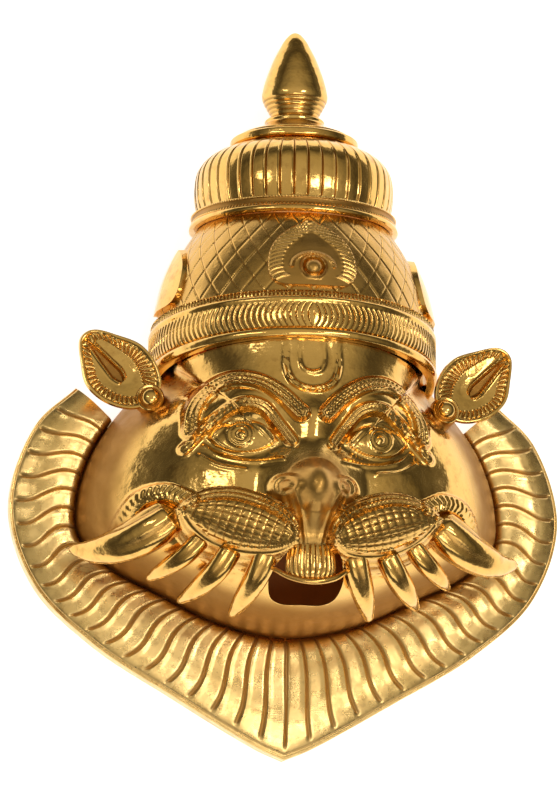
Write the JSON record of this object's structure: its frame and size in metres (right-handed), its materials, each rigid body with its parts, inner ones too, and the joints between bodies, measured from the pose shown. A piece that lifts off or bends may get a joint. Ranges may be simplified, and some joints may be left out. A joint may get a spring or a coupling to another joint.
{
  "type": "narasimha mask",
  "caption": "Gilt sheet-metal lion-face mask with tall lattice crown, bud finial, leaf ears, fangs, curved tusks and a wide pointed mane collar, open at the back.",
  "frame": {"origin": "under the middle of the mask's height and width, on the plane of its open back", "axes": "+X to the viewer's right, +Y from the chin to the crown's finial, +Z out of the face towards the nose"},
  "size_m": [0.269, 0.3598, 0.1076],
  "materials": {
    "polished_gilt": "mirror-polished gilding on raised brass sheet",
    "satin_gilt": "satin gilding with fine scratches on raised brass sheet"
  },
  "bodies": {
    "root": {"mane_collar": "satin_gilt", "face": "polished_gilt", "crown": "polished_gilt", "crown_cap": "polished_gilt", "finial": "polished_gilt", "ear_left": "polished_gilt", "ear_right": "polished_gilt"}
  },
  "joints": []
}
